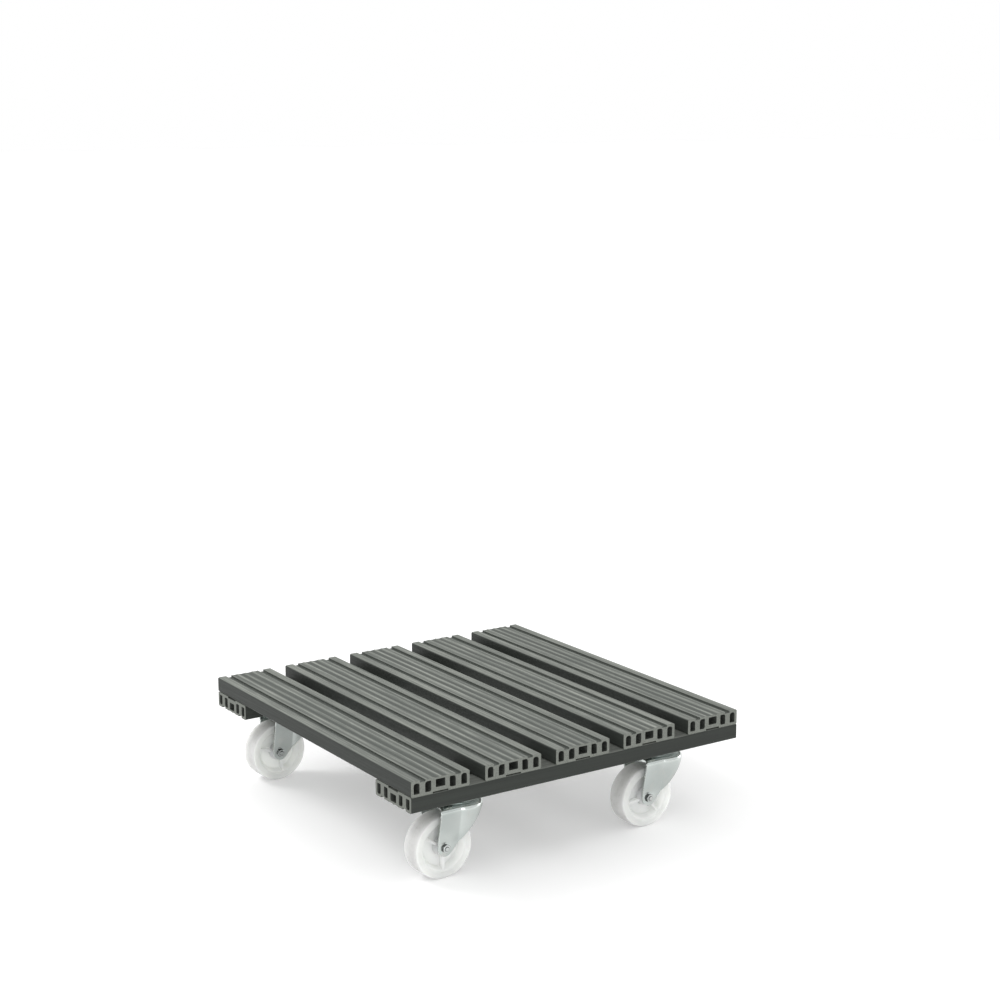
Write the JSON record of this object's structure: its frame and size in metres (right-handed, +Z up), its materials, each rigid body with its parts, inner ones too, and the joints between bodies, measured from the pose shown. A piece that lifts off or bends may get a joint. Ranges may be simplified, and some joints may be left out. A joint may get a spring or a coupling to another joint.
{
  "type": "plant pot caddy",
  "caption": "Near-square slatted caddy of hollow wood-plastic boards on swivel casters, for moving a heavy plant pot.",
  "frame": {"origin": "centre of the footprint, on the floor under the wheels", "axes": "+Z up, +X across the deck boards, +Y along the deck boards; front_left is the corner at -X, -Y"},
  "size_m": [0.5, 0.51, 0.144],
  "materials": {
    "board": "brushed grey wood-plastic composite",
    "screw": "satin zinc",
    "zinc_plate": "satin zinc",
    "zinc_fork": "bright zinc plate",
    "bright_steel": "bright zinc plate",
    "ball_steel": "polished, greased",
    "nylon": "satin moulded nylon"
  },
  "bodies": {
    "deck": {"deck_board_1": "board", "deck_board_2": "board", "deck_board_3": "board", "deck_board_4": "board", "deck_board_5": "board", "front_beam": "board", "rear_beam": "board", "front_deck_screws": "screw", "rear_deck_screws": "screw", "front_left_top_plate": "zinc_plate", "front_left_plate_screws": "screw", "front_left_king_pin": "bright_steel", "front_left_lower_cup": "zinc_plate", "front_right_top_plate": "zinc_plate", "front_right_plate_screws": "screw", "front_right_king_pin": "bright_steel", "front_right_lower_cup": "zinc_plate", "rear_left_top_plate": "zinc_plate", "rear_left_plate_screws": "screw", "rear_left_king_pin": "bright_steel", "rear_left_lower_cup": "zinc_plate", "rear_right_top_plate": "zinc_plate", "rear_right_plate_screws": "screw", "rear_right_king_pin": "bright_steel", "rear_right_lower_cup": "zinc_plate"},
    "front_left_caster": {"front_left_fork": "zinc_fork", "front_left_upper_balls": "ball_steel", "front_left_lower_balls": "ball_steel", "front_left_axle_sleeve": "bright_steel", "front_left_axle_bolt": "bright_steel", "front_left_axle_nut": "bright_steel"},
    "front_left_roller": {"front_left_wheel": "nylon"},
    "front_right_caster": {"front_right_fork": "zinc_fork", "front_right_upper_balls": "ball_steel", "front_right_lower_balls": "ball_steel", "front_right_axle_sleeve": "bright_steel", "front_right_axle_bolt": "bright_steel", "front_right_axle_nut": "bright_steel"},
    "front_right_roller": {"front_right_wheel": "nylon"},
    "rear_left_caster": {"rear_left_fork": "zinc_fork", "rear_left_upper_balls": "ball_steel", "rear_left_lower_balls": "ball_steel", "rear_left_axle_sleeve": "bright_steel", "rear_left_axle_bolt": "bright_steel", "rear_left_axle_nut": "bright_steel"},
    "rear_left_roller": {"rear_left_wheel": "nylon"},
    "rear_right_caster": {"rear_right_fork": "zinc_fork", "rear_right_upper_balls": "ball_steel", "rear_right_lower_balls": "ball_steel", "rear_right_axle_sleeve": "bright_steel", "rear_right_axle_bolt": "bright_steel", "rear_right_axle_nut": "bright_steel"},
    "rear_right_roller": {"rear_right_wheel": "nylon"}
  },
  "joints": [
    {"name": "front_left_swivel", "type": "hinge", "parent": "deck", "child": "front_left_caster", "pos_m": [-0.156, -0.213, 0.095], "axis": [0, 0, 1], "continuous": true},
    {"name": "front_left_roll", "type": "hinge", "parent": "front_left_caster", "child": "front_left_roller", "pos_m": [-0.187, -0.213, 0.04], "axis": [0, 1, 0], "continuous": true},
    {"name": "front_right_swivel", "type": "hinge", "parent": "deck", "child": "front_right_caster", "pos_m": [0.156, -0.213, 0.095], "axis": [0, 0, 1], "continuous": true},
    {"name": "front_right_roll", "type": "hinge", "parent": "front_right_caster", "child": "front_right_roller", "pos_m": [0.125, -0.213, 0.04], "axis": [0, 1, 0], "continuous": true},
    {"name": "rear_left_swivel", "type": "hinge", "parent": "deck", "child": "rear_left_caster", "pos_m": [-0.156, 0.213, 0.095], "axis": [0, 0, 1], "continuous": true},
    {"name": "rear_left_roll", "type": "hinge", "parent": "rear_left_caster", "child": "rear_left_roller", "pos_m": [-0.187, 0.213, 0.04], "axis": [0, 1, 0], "continuous": true},
    {"name": "rear_right_swivel", "type": "hinge", "parent": "deck", "child": "rear_right_caster", "pos_m": [0.156, 0.213, 0.095], "axis": [0, 0, 1], "continuous": true},
    {"name": "rear_right_roll", "type": "hinge", "parent": "rear_right_caster", "child": "rear_right_roller", "pos_m": [0.125, 0.213, 0.04], "axis": [0, 1, 0], "continuous": true}
  ]
}
